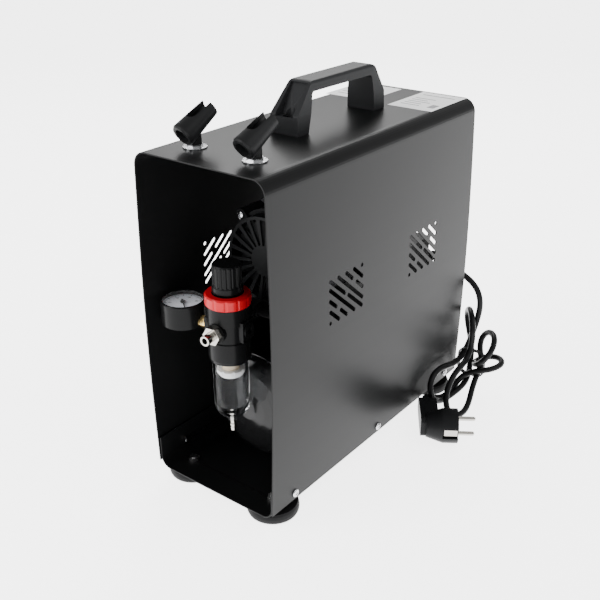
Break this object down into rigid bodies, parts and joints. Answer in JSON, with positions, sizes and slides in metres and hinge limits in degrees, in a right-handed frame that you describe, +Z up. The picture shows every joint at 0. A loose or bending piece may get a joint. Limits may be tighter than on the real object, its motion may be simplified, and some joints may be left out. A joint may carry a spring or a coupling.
{
  "type": "airbrush compressor",
  "caption": "Airbrush compressor: piston pump over an air tank in an open sheet-steel housing, with filter regulator, pressure gauge, carrying handle, airbrush holders and a coiled mains cord.",
  "frame": {"origin": "on the floor under the middle of the housing, at the centre of the bounding box without the cord", "axes": "+Z up, -Y out of the open front end where the regulator stands, +X to the right seen from the front"},
  "size_m": [0.2345, 0.3848, 0.393],
  "materials": {
    "powder_coat": "satin",
    "chrome": "polished",
    "rubber": "matte",
    "zinc": "satin",
    "black_plastic": "matte",
    "dark_steel": "satin",
    "label_white": "matte",
    "gloss_black": "gloss",
    "brass": "satin",
    "cast_dark": "satin",
    "cast_alloy": "cast",
    "bright_steel": "polished",
    "lamination": "matte",
    "cord_black": "matte",
    "red_plastic": "gloss",
    "nickel": "satin",
    "body_plastic": "satin",
    "clear_plastic": "clear",
    "filter_beige": "matte",
    "white_plastic": "satin",
    "dial_white": "satin",
    "dial_black": "matte"
  },
  "bodies": {
    "housing": {"cover": "powder_coat", "base_tray": "powder_coat", "pan_screws": "chrome", "feet": "rubber", "hex_bolts": "zinc", "handle": "black_plastic", "handle_screws": "dark_steel", "holder_nuts": "chrome", "labels": "label_white", "tank": "gloss_black", "tank_feet": "powder_coat", "pump_bracket": "powder_coat", "isolators": "rubber", "crankcase": "cast_dark", "crankcase_cover": "cast_dark", "cylinder": "cast_alloy", "cylinder_head": "cast_alloy", "head_bolts": "zinc", "stator": "lamination", "end_bell": "cast_dark", "bearings": "bright_steel", "fan_guard": "black_plastic", "intake_filter": "black_plastic", "air_hoses": "rubber", "air_fittings": "black_plastic", "check_valve": "brass", "pressure_switch": "black_plastic", "safety_valve": "brass", "switch_box": "black_plastic", "cord_gland": "rubber", "cord_tube": "cord_black", "cord_hank": "cord_black", "cord_tie": "black_plastic", "plug_body": "rubber", "plug_pins": "nickel", "reg_body": "body_plastic", "reg_spring": "bright_steel", "lock_ring": "red_plastic", "bowl": "clear_plastic", "filter_element": "filter_beige", "baffle": "white_plastic", "gauge_case": "body_plastic", "gauge_dial": "dial_white", "gauge_lens": "clear_plastic", "gauge_stem": "brass", "outlet_nipple": "nickel"},
    "holder_left": {"holder_left": "black_plastic"},
    "holder_right": {"holder_right": "black_plastic"},
    "shaft": {"motor_shaft": "bright_steel", "rotor": "lamination", "fan": "black_plastic"},
    "conrod": {"conrod": "cast_alloy"},
    "piston": {"piston": "cast_alloy"},
    "adjusting_screw": {"adjusting_screw": "bright_steel"},
    "knob": {"knob": "body_plastic"},
    "bowl_drain": {"bowl_drain": "nickel"},
    "gauge_pointer": {"gauge_pointer": "dial_black"},
    "tank_drain": {"tank_drain": "brass"},
    "safety_ring": {"safety_ring": "bright_steel"},
    "rocker": {"rocker": "red_plastic"}
  },
  "joints": [
    {"name": "holder_left_swivel", "type": "hinge", "parent": "housing", "child": "holder_left", "pos_m": [-0.036, -0.137, 0.357], "axis": [0, 0, 1], "range_deg": [-80, 80]},
    {"name": "holder_right_swivel", "type": "hinge", "parent": "housing", "child": "holder_right", "pos_m": [0.033, -0.137, 0.357], "axis": [0, 0, 1], "range_deg": [-80, 80]},
    {"name": "motor_spin", "type": "hinge", "parent": "housing", "child": "shaft", "pos_m": [0, 0, 0.2315], "axis": [0, 1, 0], "continuous": true},
    {"name": "crankpin_turn", "type": "hinge", "parent": "shaft", "child": "conrod", "pos_m": [0, 0.04, 0.2375], "axis": [0, 1, 0], "continuous": true},
    {"name": "piston_stroke", "type": "slide", "parent": "housing", "child": "piston", "axis": [0, 0, 1], "range_m": [-0.012, 0]},
    {"name": "pressure_turn", "type": "hinge", "parent": "housing", "child": "adjusting_screw", "pos_m": [-0.002, -0.14, 0.225], "axis": [0, 0, 1], "range_deg": [-720, 720]},
    {"name": "knob_lift", "type": "slide", "parent": "adjusting_screw", "child": "knob", "axis": [0, 0, 1], "range_m": [0, 0.003]},
    {"name": "drain_press", "type": "slide", "parent": "housing", "child": "bowl_drain", "axis": [0, 0, 1], "range_m": [0, 0.002], "stiffness_N_per_m": 600, "springref_m": -0.001},
    {"name": "gauge_reading", "type": "hinge", "parent": "housing", "child": "gauge_pointer", "pos_m": [-0.05461, -0.14646, 0.192], "axis": [0, 0, 1], "range_deg": [-270, 0], "stiffness_Nm_per_rad": 0.0005},
    {"name": "tank_drain_turn", "type": "hinge", "parent": "housing", "child": "tank_drain", "pos_m": [0, 0.02, 0.02], "axis": [0, 0, 1], "range_deg": [-360, 0]},
    {"name": "safety_pull", "type": "slide", "parent": "housing", "child": "safety_ring", "axis": [-1, 0, 0], "range_m": [0, 0.002], "stiffness_N_per_m": 1500, "springref_m": -0.002},
    {"name": "power_rocker", "type": "hinge", "parent": "housing", "child": "rocker", "pos_m": [0.039, 0.111, 0.192], "axis": [1, 0, 0], "range_deg": [0, 14]}
  ],
  "couplings": [
    {"joint": "crankpin_turn", "follows": "motor_spin", "ratio": -1}
  ]
}
